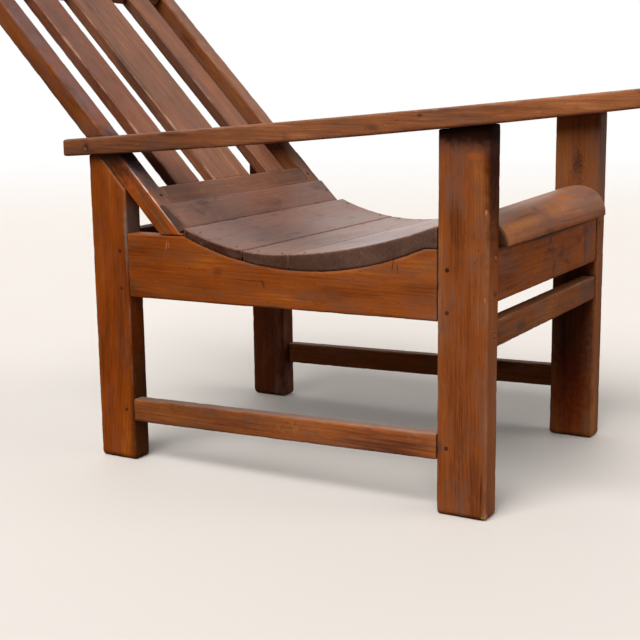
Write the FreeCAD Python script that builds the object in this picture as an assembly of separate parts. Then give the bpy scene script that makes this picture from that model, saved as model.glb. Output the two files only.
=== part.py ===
import FreeCAD
import Part

import os
from math import atan, cos, degrees, pi, radians, sin, sqrt, tan

from FreeCAD import Vector

# Low lounge chair in pegged solid wood: a scooped plank seat, a raked slat back and long sloping arms.
# Millimetres. +Z is up, the chair faces -Y, and the sitter's right hand is at -X.
# While it is built, y = 0 is the front face of the front posts and z = 0 is the floor.
# At the end everything moves along Y so that the origin lies under the middle of the whole chair.

# Posts
frame_width = 565.0          # over the outer faces of the posts
frame_depth = 777.0          # front face of the front posts to back face of the rear posts
post_thickness = 42.0        # across the chair
front_post_depth = 86.0
rear_post_depth = 80.0
post_arris = 2.5             # worn edges of the posts and their feet

# Seat frame
seat_frame_height = 431.0    # top of the side rails at the front
side_rail_height = 115.5
side_rail_thickness = 34.0
side_rail_drop = 8.0         # the side rails run down to the rear
scoop_depth = 51.5           # lowest point of the scoop under the seat frame height
scoop_shoulder = 22.0        # flat left on the rail next to the front post
scoop_foot_gap = 4.0         # flat left on the rail in front of the stile foot
front_rail_rise = 3.0        # above the seat frame height
front_rail_height = 87.0
front_rail_thickness = 34.0
front_rail_setback = 2.0     # behind the faces of the front posts
front_stretcher_height = 43.0
front_stretcher_thickness = 26.0
front_stretcher_gap = 29.0   # opening under the front rail
rear_rail_height = 100.0
rear_rail_thickness = 31.0
side_stretcher_height = 42.5
side_stretcher_thickness = 24.0
side_stretcher_floor = 90.5  # clear height at the front
side_stretcher_drop = 16.0
rail_arris = 1.5

# Seat planks and the rounded nose in front of them
plank_at_front = 36.0        # thickness at the front posts
plank_at_rise = 33.5         # thickness in the middle of the front plank
plank_at_front_joint = 26.0  # thickness at the joint of front and middle plank
plank_at_rear_joint = 18.0   # thickness at the joint of middle and rear plank
plank_at_back = 15.0         # thickness at the foot of the back
rear_plank_width = 121.0
middle_plank_width = 92.0
plank_gap = 1.0              # open joint between planks
tight_gap = 0.2              # joint of front and middle plank, worn as one surface
plank_arris = 1.6
roll_radius = 49.5
roll_tilt = 14.5             # the nose is fitted by hand: its right end is this much lower
roll_nose = 16.0             # how far the nose stands in front of the posts
roll_lip = 2.0               # step from the roll down to the front plank
roll_end_gap = 0.8           # between an end of the nose and the post
roll_arris = 3.0

# Back
back_angle = 46.5            # of the stiles, above the horizontal
back_length = 690.0          # along the front of a stile, from its foot
lean_drop = 60.5             # under the arm, where the back of a stile meets the front of the rear post
stile_depth = 35.5
back_rail_thickness = 28.0
lower_rail_top = 112.0       # along the stile from its foot
lower_rail_width = 54.0
crest_rail_width = 80.0
slat_thickness = 22.5
slat_setback = 4.0           # behind the faces of the stiles
middle_slat_width = 122.0
right_slat_width = 71.0
left_slat_width = 68.0
slat_gap_right = 60.5        # between the right stile and the slat beside it
slat_gap_left = 47.5
back_plank_start = 8.0       # along the stile from its foot
back_plank_end = 69.0
back_plank_butt = 9.5        # thickness of its lower edge
back_plank_tip = 4.5         # thickness of its upper edge
back_plank_slant = 15.0      # its ends are sawn at a slant over this much of its length
back_arris = 2.0
stile_top_round = 12.0

# Arms
arm_height_front = 623.0     # underside over the front faces of the front posts
arm_height_rear = 561.0      # underside over the back faces of the rear posts
arm_bow = 4.0                # hollow of the underside between those two
arm_top_bow = 1.5            # hollow of the top, so the arm is a little thicker in the middle
arm_thickness = 31.0         # over those two
arm_width = 100.0
arm_overhang = 15.0          # outside the posts
arm_reach_front = 330.0      # in front of the posts
arm_reach_rear = 51.0        # behind the posts
arm_front_round = 36.0       # corners, seen from above
arm_rear_round = 12.0
arm_arris = 2.5

# Joinery
fit = 0.2                    # clearance around a tenon or a peg
rest_gap = 0.1               # between pieces that rest on each other
slot_fit = 0.4               # around a stile in its slot in the arm
side_tenon_length = 28.0     # side rails and stretchers, into the posts' depth
cross_tenon_length = 28.0    # front, rear and back rails, into the thickness of posts and stiles
tenon_thickness = 12.0
tenon_inset = 8.0            # shoulder above and below a tenon
slat_tenon_length = 14.0
slat_tenon_thickness = 8.0
arm_tenon_height = 16.0
arm_tenon_depth = 50.0
peg_sides = 10               # whittled, not turned
peg_diameter = 8.0
peg_length = 32.0
peg_margin = 14.0            # from the shoulder of a cross rail's joint to its pegs
side_peg_margin = 17.0       # the same for the side rails and stretchers
peg_proud = 0.5
seat_peg_diameter = 6.0
seat_peg_length = 44.0
seat_peg_margin = 22.0       # from a plank's edges to its pegs

# Positions that follow from the sizes
half_width = frame_width / 2
inner_half = half_width - post_thickness
rear_post_front = frame_depth - rear_post_depth
rail_span = rear_post_front - front_post_depth
lean = radians(back_angle)
lean_height = arm_height_rear - lean_drop
mid_x = -half_width + post_thickness / 2
nodes = {}


def side_line(start_height, drop, y):
    """Height at y of a line that starts at the front post and drops towards the rear post."""
    return start_height - drop * (y - front_post_depth) / rail_span


def rail_top(y):
    return side_line(seat_frame_height, side_rail_drop, y)


# Foot of the back: the back face of a stile passes through the rear post's front face at lean_height.
stile_depth_flat = stile_depth / sin(lean)
foot_y = rear_post_front - (lean_height - seat_frame_height + side_rail_drop) / tan(lean) - stile_depth_flat
foot = Vector(0, foot_y, rail_top(foot_y))


def circle_through(a, b, c):
    """Centre and radius of the circle through three (y, z) points."""
    d = 2 * (a[0] * (b[1] - c[1]) + b[0] * (c[1] - a[1]) + c[0] * (a[1] - b[1]))
    sa, sb, sc = (p[0] ** 2 + p[1] ** 2 for p in (a, b, c))
    cy = (sa * (b[1] - c[1]) + sb * (c[1] - a[1]) + sc * (a[1] - b[1])) / d
    cz = (sa * (c[0] - b[0]) + sb * (a[0] - c[0]) + sc * (b[0] - a[0])) / d
    return cy, cz, sqrt((a[0] - cy) ** 2 + (a[1] - cz) ** 2)


def hollow(circle, y, lift=0.0):
    """Height at y of the lower side of a circle, moved towards its centre by lift."""
    cy, cz, r = circle
    return cz - sqrt((r - lift) ** 2 - (y - cy) ** 2)


def arc(circle, y0, y1, lift=0.0):
    """Edge in the side view along the lower side of a circle, from y0 to y1."""
    ends = [Vector(0, y, hollow(circle, y, lift)) for y in (y0, (y0 + y1) / 2, y1)]
    return Part.Arc(*ends).toShape()


def line(a, b):
    return Part.makeLine(Vector(0, *a), Vector(0, *b))


def swept(edges, x0, x1):
    """Solid from a closed side-view outline, running across the chair from x0 to x1."""
    face = Part.Face(Part.Wire(edges))
    face.translate(Vector(x0, 0, 0))
    return face.extrude(Vector(x1 - x0, 0, 0))


def polygon(points, x0, x1):
    corners = [Vector(0, y, z) for y, z in points]
    face = Part.Face(Part.makePolygon(corners + corners[:1]))
    face.translate(Vector(x0, 0, 0))
    return face.extrude(Vector(x1 - x0, 0, 0))


def box(x0, x1, y0, y1, z0, z1):
    return Part.makeBox(x1 - x0, y1 - y0, z1 - z0, Vector(x0, y0, z0))


def grown(bounds, by):
    """The same box limits, larger by one clearance on every side."""
    return [v + (by if i % 2 else -by) for i, v in enumerate(bounds)]


def runs_along(edge, axis):
    """True for a straight edge that is parallel to an axis."""
    if not isinstance(edge.Curve, (Part.Line, Part.LineSegment)):
        return False
    return abs(edge.tangentAt(edge.FirstParameter).dot(axis)) > 0.999


def rounded(shape, radius, wanted):
    """Shape with a rounded arris on the edges that are wanted."""
    return shape.makeFillet(radius, [e for e in shape.Edges if wanted(e)])


def eased(shape, size, wanted):
    """Shape with a narrow planed arris on the edges that are wanted."""
    return shape.makeChamfer(size, [e for e in shape.Edges if wanted(e)])


def on_back(shape):
    """Move a shape drawn with y along the stile and z out of its face to its place on the raked back."""
    shape = shape.copy()
    shape.rotate(Vector(0, 0, 0), Vector(1, 0, 0), back_angle)
    shape.translate(foot)
    return shape


def back_point(s, n):
    """Place of the point at s along the front of a stile and n out of it."""
    return (foot.y + s * cos(lean) - n * sin(lean), foot.z + s * sin(lean) + n * cos(lean))


def mirrored(shape):
    return shape.mirror(Vector(0, 0, 0), Vector(1, 0, 0))


def pair(name, shape):
    """Store a right-hand piece and its mirror image."""
    nodes[name + "_right"] = shape
    nodes[name + "_left"] = mirrored(shape)


def drilled(shape, holes):
    return shape.cut(holes) if holes else shape


def prism(radius, length, start, way):
    """Many-sided rod from start along way."""
    turn = FreeCAD.Rotation(Vector(0, 0, 1), way)
    corners = []
    for i in range(peg_sides + 1):
        angle = 2 * pi * i / peg_sides
        corners.append(start + turn.multVec(Vector(radius * cos(angle), radius * sin(angle), 0)))
    return Part.Face(Part.makePolygon(corners)).extrude(way * length)


class Pegs:
    """Equal pegs, each with a slightly wider hole."""

    def __init__(self, diameter, length):
        self.radius = diameter / 2
        self.length = length
        self.solids = []
        self.holes = []

    def add(self, x, y, z, direction):
        way = Vector(*direction)
        way.normalize()
        face = Vector(x, y, z)
        start = face - way * peg_proud
        bore_start = face - way * 6
        self.solids.append(prism(self.radius, self.length + peg_proud, start, way))
        self.holes.append(prism(self.radius + fit, self.length + 6.5, bore_start, way))

    def both_sides(self):
        return Part.makeCompound(self.solids + [mirrored(s) for s in self.solids])

    def all_holes(self):
        return self.holes + [mirrored(h) for h in self.holes]


# Curves of the side view, each shared by the pieces that meet on it
scoop_front = front_post_depth + scoop_shoulder
scoop_rear = foot_y - scoop_foot_gap
scoop_middle = (scoop_front + scoop_rear) / 2
scoop_floor = seat_frame_height - scoop_depth
scoop = circle_through(
    (scoop_front, rail_top(scoop_front)),
    (scoop_middle, scoop_floor),
    (scoop_rear, rail_top(scoop_rear)),
)
joint_rear = scoop_rear
joint_middle = joint_rear - rear_plank_width
joint_front = joint_middle - middle_plank_width
seat_rise = (joint_front + front_post_depth) / 2
seat_joint = (joint_front, hollow(scoop, joint_front) + plank_at_front_joint)
seat_front = circle_through(
    (front_post_depth, seat_frame_height + plank_at_front),
    (seat_rise, hollow(scoop, seat_rise) + plank_at_rise),
    seat_joint,
)
seat_rear = circle_through(
    seat_joint,
    (joint_middle, hollow(scoop, joint_middle) + plank_at_rear_joint),
    (joint_rear, rail_top(joint_rear) + plank_at_back),
)


def seat_curve(y):
    """Circle that the top of the seat follows at y."""
    return seat_front if y < joint_front else seat_rear


def seat_height(y):
    return hollow(seat_curve(y), y)


def arm_line(bow, lift):
    """Circle along an arm: the line over the posts, hollowed by bow and raised by lift."""
    middle = (arm_height_front + arm_height_rear) / 2 - bow
    return circle_through(
        (0, arm_height_front + lift), (frame_depth / 2, middle + lift), (frame_depth, arm_height_rear + lift)
    )


arm_curve = arm_line(arm_bow, 0)
arm_top = arm_line(arm_top_bow, arm_thickness)

# Pegs, set out on the right-hand side
side_pegs = Pegs(peg_diameter, peg_length)
front_pegs = Pegs(peg_diameter, peg_length)
rear_pegs = Pegs(peg_diameter, peg_length)
back_pegs = Pegs(peg_diameter, stile_depth - 6)
arm_pegs = Pegs(peg_diameter, arm_overhang + post_thickness / 2)
seat_pegs = Pegs(seat_peg_diameter, seat_peg_length)

stretcher_middle = side_stretcher_floor + side_stretcher_height / 2
for shoulder, inwards in ((front_post_depth, -1), (rear_post_front, 1)):
    peg_y = shoulder + inwards * side_peg_margin
    rail_low = rail_top(shoulder) - side_rail_height
    low_peg = rail_low + tenon_inset + peg_diameter
    high_peg = rail_top(shoulder) - 2 * tenon_inset - 2 * peg_diameter
    foot_peg = side_line(stretcher_middle, side_stretcher_drop, shoulder)
    for peg_z in (high_peg, low_peg, foot_peg):
        side_pegs.add(-half_width, peg_y, peg_z, (1, 0, 0))

front_rail_top = seat_frame_height + front_rail_rise
front_rail_low = front_rail_top - front_rail_height
front_stretcher_top = front_rail_low - front_stretcher_gap
front_stretcher_low = front_stretcher_top - front_stretcher_height
rear_rail_top = rail_top(rear_post_front)
rear_rail_low = rear_rail_top - rear_rail_height
peg_step = tenon_inset + peg_diameter
peg_x = -inner_half - peg_margin
for peg_z in (
    front_rail_top - peg_step,
    front_rail_low + peg_step,
    (front_stretcher_low + front_stretcher_top) / 2,
):
    front_pegs.add(peg_x, 0, peg_z, (0, 1, 0))
for peg_z in (rear_rail_top - peg_step, rear_rail_low + peg_step):
    rear_pegs.add(peg_x, frame_depth, peg_z, (0, -1, 0))

into_back = (0, sin(lean), -cos(lean))
for s in (lower_rail_top - peg_step - 4, back_length - crest_rail_width / 2):
    back_pegs.add(peg_x, *back_point(s, 0), into_back)

# Front posts: a rectangle that ends under the arm, with a tenon up into it
arm_seat_front = hollow(arm_curve, 0) - rest_gap
arm_seat_back = hollow(arm_curve, front_post_depth) - rest_gap
front_post = polygon(
    [(0, 0), (front_post_depth, 0), (front_post_depth, arm_seat_back), (0, arm_seat_front)],
    -half_width,
    -inner_half,
)
upright = Vector(0, 0, 1)
front_post = eased(
    front_post, post_arris, lambda e: runs_along(e, upright) or e.BoundBox.ZMax < 1
)
arm_tenon_front = (front_post_depth - arm_tenon_depth) / 2
arm_tenon = [
    mid_x - tenon_thickness,
    mid_x + tenon_thickness,
    arm_tenon_front,
    arm_tenon_front + arm_tenon_depth,
    arm_seat_back - 12,
    arm_seat_back + arm_tenon_height,
]
front_post = front_post.fuse(box(*arm_tenon))

# Rear posts: cut away in front of the back face of the stile
rear_top_front = hollow(arm_curve, rear_post_front) - rest_gap
rear_top_back = hollow(arm_curve, frame_depth) - rest_gap
rear_post = polygon(
    [
        (rear_post_front, 0),
        (frame_depth, 0),
        (frame_depth, rear_top_back),
        (rear_post_front, rear_top_front),
    ],
    -half_width,
    -inner_half,
)
rear_post = eased(
    rear_post, post_arris, lambda e: runs_along(e, upright) or e.BoundBox.ZMax < 1
)
rear_tenon = [
    mid_x - tenon_thickness,
    mid_x + tenon_thickness,
    rear_post_front,
    frame_depth - 1,
    rear_top_back - 12,
    rear_top_back + arm_tenon_height,
]
rear_post = rear_post.fuse(box(*rear_tenon))
lean_space = box(-half_width - 5, -inner_half + 5, 0, back_length, -stile_depth - rest_gap, 300)
rear_post = rear_post.cut(on_back(lean_space))


def side_piece(thickness, edges, low, high, drop):
    """Rail or stretcher between front and rear post with its two tenons; also gives the tenon limits."""
    shape = swept(edges, -half_width, -half_width + thickness)
    across = Vector(1, 0, 0)

    def long_edge(e):
        if runs_along(e, across):
            return False
        return e.BoundBox.YMax - e.BoundBox.YMin > 5

    shape = eased(shape, rail_arris, long_edge)
    tongue = min(tenon_thickness, thickness - 6)
    x0 = -half_width + (thickness - tongue) / 2
    tenons = []
    for shoulder, tip in (
        (front_post_depth, front_post_depth - side_tenon_length),
        (rear_post_front, rear_post_front + side_tenon_length),
    ):
        inner = shoulder + (4 if tip < shoulder else -4)
        base = side_line(low, drop, shoulder)
        rise = high - low
        limits = [x0, x0 + tongue, min(inner, tip), max(inner, tip)]
        limits += [base + tenon_inset, base + rise - tenon_inset]
        tenons.append(limits)
        shape = shape.fuse(box(*limits))
    return shape, tenons


# Side rails, with the scoop that carries the seat planks
rail_low = seat_frame_height - side_rail_height
front_y = front_post_depth + rest_gap
rear_y = rear_post_front - rest_gap
low_front = (front_y, side_line(rail_low, side_rail_drop, front_y))
low_rear = (rear_y, side_line(rail_low, side_rail_drop, rear_y))
top_rear = (rear_y, rail_top(rear_y))
top_front = (front_y, rail_top(front_y))
scoop_end = (scoop_rear, rail_top(scoop_rear))
scoop_start = (scoop_front, rail_top(scoop_front))
rail_edges = [
    line(low_front, low_rear),
    line(low_rear, top_rear),
    line(top_rear, scoop_end),
    arc(scoop, scoop_rear, scoop_front),
    line(scoop_start, top_front),
    line(top_front, low_front),
]
side_rail, rail_tenons = side_piece(
    side_rail_thickness, rail_edges, rail_low, seat_frame_height, side_rail_drop
)

# Side stretchers
stretcher_corners = [
    (y, side_line(side_stretcher_floor, side_stretcher_drop, y) + up)
    for y, up in (
        (front_y, 0),
        (rear_y, 0),
        (rear_y, side_stretcher_height),
        (front_y, side_stretcher_height),
    )
]
stretcher_edges = [
    line(a, b) for a, b in zip(stretcher_corners, stretcher_corners[1:] + stretcher_corners[:1])
]
side_stretcher, stretcher_tenons = side_piece(
    side_stretcher_thickness,
    stretcher_edges,
    side_stretcher_floor,
    side_stretcher_floor + side_stretcher_height,
    side_stretcher_drop,
)


def cross_piece(y0, thickness, z0, z1):
    """Rail across the chair between two posts; also gives the limits of its right-hand tenon."""
    shape = box(-inner_half + rest_gap, inner_half - rest_gap, y0, y0 + thickness, z0, z1)
    across = Vector(1, 0, 0)
    shape = eased(shape, rail_arris, lambda e: runs_along(e, across))
    middle = y0 + thickness / 2
    limits = [
        -inner_half - cross_tenon_length,
        -inner_half + 4,
        middle - tenon_thickness / 2,
        middle + tenon_thickness / 2,
        z0 + tenon_inset,
        z1 - tenon_inset,
    ]
    tenon = box(*limits)
    return shape.fuse([tenon, mirrored(tenon)]), limits


front_rail, front_rail_tenon = cross_piece(
    front_rail_setback, front_rail_thickness, front_rail_low, front_rail_top
)
front_stretcher, front_stretcher_tenon = cross_piece(
    front_rail_setback, front_stretcher_thickness, front_stretcher_low, front_stretcher_top
)
rear_rail, rear_rail_tenon = cross_piece(
    rear_post_front + (rear_post_depth - rear_rail_thickness) / 2,
    rear_rail_thickness,
    rear_rail_low,
    rear_rail_top,
)

# Mortises and peg holes in the posts
front_mortises = [rail_tenons[0], stretcher_tenons[0], front_rail_tenon, front_stretcher_tenon]
rear_mortises = [rail_tenons[1], stretcher_tenons[1], rear_rail_tenon]
front_post = front_post.cut([box(*grown(m, fit)) for m in front_mortises])
rear_post = rear_post.cut([box(*grown(m, fit)) for m in rear_mortises])
pair("front_post", drilled(front_post, side_pegs.holes + front_pegs.holes))
nodes["front_rail"] = drilled(front_rail, front_pegs.all_holes())
nodes["front_stretcher"] = drilled(front_stretcher, front_pegs.all_holes())
nodes["rear_rail"] = drilled(rear_rail, rear_pegs.all_holes())
pair("side_stretcher", drilled(side_stretcher, side_pegs.holes))


# Seat planks between the seat curve and the scoop
def seat_plank(y_rear, y_front, foot_edges):
    """Plank across the whole frame; foot_edges runs along its underside from the front to the rear."""
    first = foot_edges[0].Vertexes[0].Point
    last = foot_edges[-1].Vertexes[-1].Point
    edges = list(foot_edges)
    edges.append(line((last.y, last.z), (y_rear, seat_height(y_rear))))
    edges.append(arc(seat_curve((y_rear + y_front) / 2), y_rear, y_front))
    edges.append(line((y_front, seat_height(y_front)), (first.y, first.z)))
    shape = swept(edges, -half_width, half_width)
    return rounded(shape, plank_arris, is_seat_edge)


def is_seat_edge(e):
    """True for the arrises around the top face of a plank, apart from the tight joint."""
    ends = (e.FirstParameter, (e.FirstParameter + e.LastParameter) / 2, e.LastParameter)
    points = [e.valueAt(at) for at in ends]
    if all(abs(p.y - joint_front) <= tight_gap for p in points):
        return False
    return all(abs(p.z - seat_height(p.y)) < 0.05 for p in points)


def scoop_edge(y_front, y_rear):
    """Underside along the scoop, a little above the rail."""
    return arc(scoop, y_front, y_rear, rest_gap)


half_gap = plank_gap / 2
half_tight = tight_gap / 2
nodes["seat_plank_rear"] = seat_plank(
    joint_rear, joint_middle + half_gap, [scoop_edge(joint_middle + half_gap, joint_rear)]
)
nodes["seat_plank_middle"] = seat_plank(
    joint_middle - half_gap,
    joint_front + half_tight,
    [scoop_edge(joint_front + half_tight, joint_middle - half_gap)],
)
plank_nose = front_post_depth + plank_gap
shelf_end = (scoop_front, hollow(scoop, scoop_front, rest_gap))
shelf_start = (plank_nose, shelf_end[1] + rail_top(plank_nose) - rail_top(scoop_front))
nodes["seat_plank_front"] = seat_plank(
    joint_front - half_tight,
    plank_nose,
    [line(shelf_start, shelf_end), scoop_edge(scoop_front, joint_front - half_tight)],
)

# Back plank: a wedge that lies on the stiles and on the lower cross rail
back_plank = polygon(
    [
        (back_plank_start, rest_gap),
        (back_plank_end, rest_gap),
        (back_plank_end, back_plank_tip),
        (back_plank_start, back_plank_butt),
    ],
    -half_width,
    half_width,
)
back_plank = eased(
    back_plank, plank_arris, lambda e: e.BoundBox.ZMin > rest_gap + 1 and e.BoundBox.XLength > 1
)
slant_foot = rest_gap + 1
slant = box(-half_width - 50, -half_width, back_plank_start - 5, back_plank_end + 5, slant_foot - 20, 80)
slant.rotate(
    Vector(-half_width, 0, slant_foot),
    Vector(0, 1, 0),
    degrees(atan(back_plank_slant / (back_plank_butt - slant_foot))),
)
back_plank = on_back(back_plank.cut([slant, mirrored(slant)]))

# Rounded nose on the front rail, between the front posts
roll_base = front_rail_top + rest_gap
roll_back = front_post_depth - rest_gap
roll_back_z = seat_height(plank_nose) + roll_lip


# Its outline has a round front, and a flatter fall from the top to the front plank.
roll_y = roll_radius - roll_nose
roll_z = seat_frame_height + roll_lip
roll_top = roll_z + roll_radius
roll_fall = max(roll_top - roll_back_z, 1.0)
fall_radius = ((roll_back - roll_y) ** 2 + roll_fall ** 2) / (2 * roll_fall)
half_run = (roll_back - roll_y) / 2
half_fall = fall_radius - sqrt(fall_radius ** 2 - half_run ** 2)
diagonal = roll_radius * sqrt(0.5)
roll_low = roll_z - diagonal
nose_tip = Vector(0, -roll_nose, roll_z)
crown = Vector(0, roll_y, roll_top)
heel = Vector(0, roll_back, roll_top - roll_fall)
roll_edges = [
    Part.Arc(Vector(0, roll_y - diagonal, roll_low), nose_tip, crown).toShape(),
    Part.Arc(crown, Vector(0, roll_y + half_run, roll_top - half_fall), heel).toShape(),
    line((heel.y, heel.z), (roll_back, roll_low)),
    line((roll_back, roll_low), (roll_y - diagonal, roll_low)),
]
roll_end = inner_half - roll_end_gap
front_roll = swept(roll_edges, -half_width, half_width)
front_roll.rotate(Vector(0, 0, roll_z), Vector(0, 1, 0), -degrees(atan(roll_tilt / frame_width)))
front_roll = front_roll.common(
    box(-roll_end, roll_end, -front_post_depth, 2 * front_post_depth, 0, 2 * seat_frame_height)
)


def is_round_end(e):
    """True for the two arcs at each end of the nose."""
    return e.BoundBox.XLength < 1 and e.BoundBox.YLength > 1 and e.BoundBox.ZLength > 1


front_roll = eased(front_roll, roll_arris, is_round_end)
below = box(-half_width, half_width, -front_post_depth, 2 * front_post_depth, 0, roll_base)
nodes["front_roll"] = front_roll.cut(below)

# Back stiles: their feet are cut along the top of the side rails
stile = box(-half_width, -inner_half, -120, back_length, -stile_depth, 0)
along = Vector(0, 1, 0)
stile_top = back_length - 1
across = Vector(1, 0, 0)
stile = rounded(stile, stile_top_round, lambda e: runs_along(e, across) and e.BoundBox.YMin > stile_top)
stile = eased(
    stile, back_arris, lambda e: runs_along(e, along) and e.BoundBox.YLength > back_length / 2
)
stile = on_back(stile)
far = frame_depth + 200
under_rail = polygon(
    [
        (front_post_depth, 0),
        (far, 0),
        (far, rail_top(far) + rest_gap),
        (front_post_depth, rail_top(front_post_depth) + rest_gap),
    ],
    -half_width - 10,
    half_width + 10,
)
stile = stile.cut(under_rail)


def back_rail(s0, s1):
    """Cross rail of the back, flush with the stiles; also gives the limits of its right-hand tenon."""
    shape = box(-inner_half + rest_gap, inner_half - rest_gap, s0, s1, -back_rail_thickness, 0)
    shape = eased(shape, rail_arris, lambda e: runs_along(e, Vector(1, 0, 0)))
    middle = -back_rail_thickness / 2
    limits = [
        -inner_half - cross_tenon_length,
        -inner_half + 4,
        s0 + tenon_inset,
        s1 - tenon_inset,
        middle - tenon_thickness / 2,
        middle + tenon_thickness / 2,
    ]
    tenon = box(*limits)
    return shape.fuse([tenon, mirrored(tenon)]), limits


crest_low = back_length - crest_rail_width
lower_rail, lower_tenon = back_rail(lower_rail_top - lower_rail_width, lower_rail_top)
crest_rail, crest_tenon = back_rail(crest_low, back_length)
stile = stile.cut([on_back(box(*grown(t, fit))) for t in (lower_tenon, crest_tenon)])

# Slats, with tongues into both cross rails
right_slat_x = -inner_half + slat_gap_right + right_slat_width / 2
left_slat_x = inner_half - slat_gap_left - left_slat_width / 2
slat_middle = -slat_setback - slat_thickness / 2
slat_sockets = []
for name, x, width in (
    ("back_slat_right", right_slat_x, right_slat_width),
    ("back_slat_middle", 0, middle_slat_width),
    ("back_slat_left", left_slat_x, left_slat_width),
):
    slat = box(
        x - width / 2,
        x + width / 2,
        lower_rail_top + rest_gap,
        crest_low - rest_gap,
        -slat_setback - slat_thickness,
        -slat_setback,
    )
    slat = eased(slat, back_arris, lambda e: runs_along(e, along))
    for s0, s1 in (
        (lower_rail_top - slat_tenon_length, lower_rail_top + 4),
        (crest_low - 4, crest_low + slat_tenon_length),
    ):
        limits = [
            x - width / 2 + tenon_inset,
            x + width / 2 - tenon_inset,
            s0,
            s1,
            slat_middle - slat_tenon_thickness / 2,
            slat_middle + slat_tenon_thickness / 2,
        ]
        slat = slat.fuse(box(*limits))
        slat_sockets.append(box(*grown(limits, fit)))
    nodes[name] = on_back(slat)
nodes["back_lower_rail"] = drilled(on_back(lower_rail.cut(slat_sockets)), back_pegs.all_holes())
nodes["back_crest_rail"] = drilled(on_back(crest_rail.cut(slat_sockets)), back_pegs.all_holes())

# Arms: a bowed board with rounded ends, let over the front post and slotted around the stile
arm_out = -half_width - arm_overhang
arm_in = arm_out + arm_width
arm_tip = -arm_reach_front
arm_tail = frame_depth + arm_reach_rear
arm_side = swept(
    [
        arc(arm_curve, arm_tip, arm_tail),
        line(
            (arm_tail, hollow(arm_curve, arm_tail)),
            (arm_tail, hollow(arm_top, arm_tail)),
        ),
        arc(arm_top, arm_tail, arm_tip),
        line(
            (arm_tip, hollow(arm_top, arm_tip)),
            (arm_tip, hollow(arm_curve, arm_tip)),
        ),
    ],
    arm_out,
    arm_in,
)
arm = rounded(
    arm_side, arm_front_round, lambda e: runs_along(e, upright) and e.BoundBox.YMax < arm_tip + 1
)
arm = rounded(arm, arm_rear_round, lambda e: runs_along(e, upright) and e.BoundBox.YMin > arm_tail - 1)
arm = eased(arm, arm_arris, lambda e: not runs_along(e, upright))
slot_limits = [-half_width, -inner_half, 40, back_length, -stile_depth, 0]
arm = arm.cut(
    [on_back(box(*grown(slot_limits, slot_fit))), box(*grown(arm_tenon, fit)), box(*grown(rear_tenon, fit))]
)
arm_peg_z = arm_height_rear + 0.36 * arm_thickness
stile_back_y = rear_post_front + (arm_peg_z - lean_height) / tan(lean)
arm_pegs.add(arm_out, (stile_back_y + frame_depth) / 2, arm_peg_z, (1, 0, 0))

# Pegs through the plank ends into the side rails and the stiles
seat_peg_x = -half_width + side_rail_thickness / 2
for y in (
    joint_rear - seat_peg_margin,
    joint_middle + seat_peg_margin,
    joint_middle - seat_peg_margin,
    joint_front + seat_peg_margin,
    joint_front - seat_peg_margin,
    front_post_depth + scoop_shoulder / 2,
):
    seat_pegs.add(seat_peg_x, y, seat_height(y), (0, 0, -1))
back_plank_mid = (back_plank_start + back_plank_end) / 2
back_plank_top = (back_plank_tip + back_plank_butt) / 2
seat_pegs.add(mid_x, *back_point(back_plank_mid, back_plank_top), into_back)

stile = drilled(stile, back_pegs.holes + arm_pegs.holes + seat_pegs.holes[-1:])
pair("back_stile", stile)
pair("arm", drilled(arm, arm_pegs.holes))
pair("rear_post", drilled(rear_post, side_pegs.holes + rear_pegs.holes + arm_pegs.holes))
pair("side_rail", drilled(side_rail, side_pegs.holes + seat_pegs.holes[:-1]))
for name in ("seat_plank_rear", "seat_plank_middle", "seat_plank_front"):
    nodes[name] = drilled(nodes[name], seat_pegs.all_holes())
nodes["seat_plank_back"] = drilled(back_plank, seat_pegs.all_holes())

for name, group in (
    ("side_pegs", side_pegs),
    ("front_pegs", front_pegs),
    ("rear_pegs", rear_pegs),
    ("back_pegs", back_pegs),
    ("arm_pegs", arm_pegs),
    ("seat_pegs", seat_pegs),
):
    nodes[name] = group.both_sides()

# Put the origin on the floor under the middle of the chair, and write one file per piece
whole = Part.makeCompound(list(nodes.values())).optimalBoundingBox(False)
shift = Vector(0, -(whole.YMin + whole.YMax) / 2, 0)
os.makedirs("parts", exist_ok=True)
for name, shape in nodes.items():
    placed = shape.copy()
    placed.translate(shift)
    placed.exportStep("parts/" + name + ".step")
print("pieces", len(nodes), "size", whole.XLength, whole.YLength, whole.ZLength)
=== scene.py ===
"""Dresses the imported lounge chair: worn copies of its boards, whittled pegs, aged wood, floor, light and camera."""
from functools import partial
from math import cos, pi, radians, sin

import bmesh
import bpy
import numpy as np
from bpy.props import FloatProperty, FloatVectorProperty, IntProperty, PointerProperty
from mathutils import Matrix, Vector, noise
from mathutils.bvhtree import BVHTree


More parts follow.
